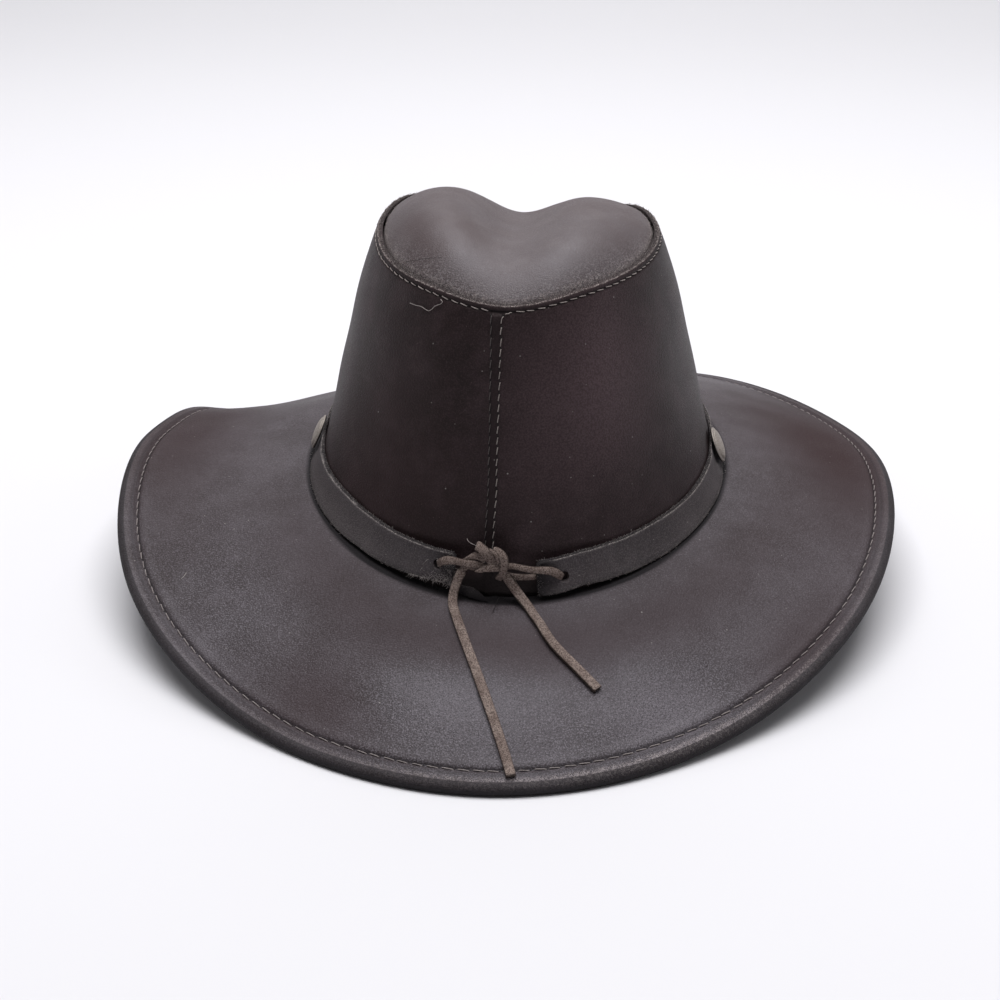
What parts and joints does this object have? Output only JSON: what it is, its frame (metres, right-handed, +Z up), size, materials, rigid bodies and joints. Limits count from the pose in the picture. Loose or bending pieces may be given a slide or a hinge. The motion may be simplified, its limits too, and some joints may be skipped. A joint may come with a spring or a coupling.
{
  "type": "leather cowboy hat",
  "caption": "Dark oiled leather cowboy hat with a pinched crown, a rolled upswept brim and a laced leather band with metal conchos.",
  "frame": {"origin": "on the surface that the hat rests on, under the middle of its outline", "axes": "+Z up, +Y towards the front of the hat, +X towards the wearer's right; the laced back faces -Y"},
  "size_m": [0.3236, 0.3663, 0.1595],
  "materials": {
    "brim_leather": "oiled pull-up leather, fine grain, satin",
    "crown_leather": "oiled pull-up leather, fine grain, satin",
    "band_leather": "oiled leather strap with raw fuzzy edges",
    "lace_suede": "grey-brown suede thong, matt",
    "concho_metal": "pale metal disc with a finely textured dome, dull polish"
  },
  "bodies": {
    "root": {"brim": "brim_leather", "crown_side": "crown_leather", "crown_top": "crown_leather", "hatband": "band_leather", "concho_right": "concho_metal", "concho_left": "concho_metal", "lace_tie": "lace_suede", "lace_tail_left": "lace_suede", "lace_tail_right": "lace_suede"}
  },
  "joints": []
}
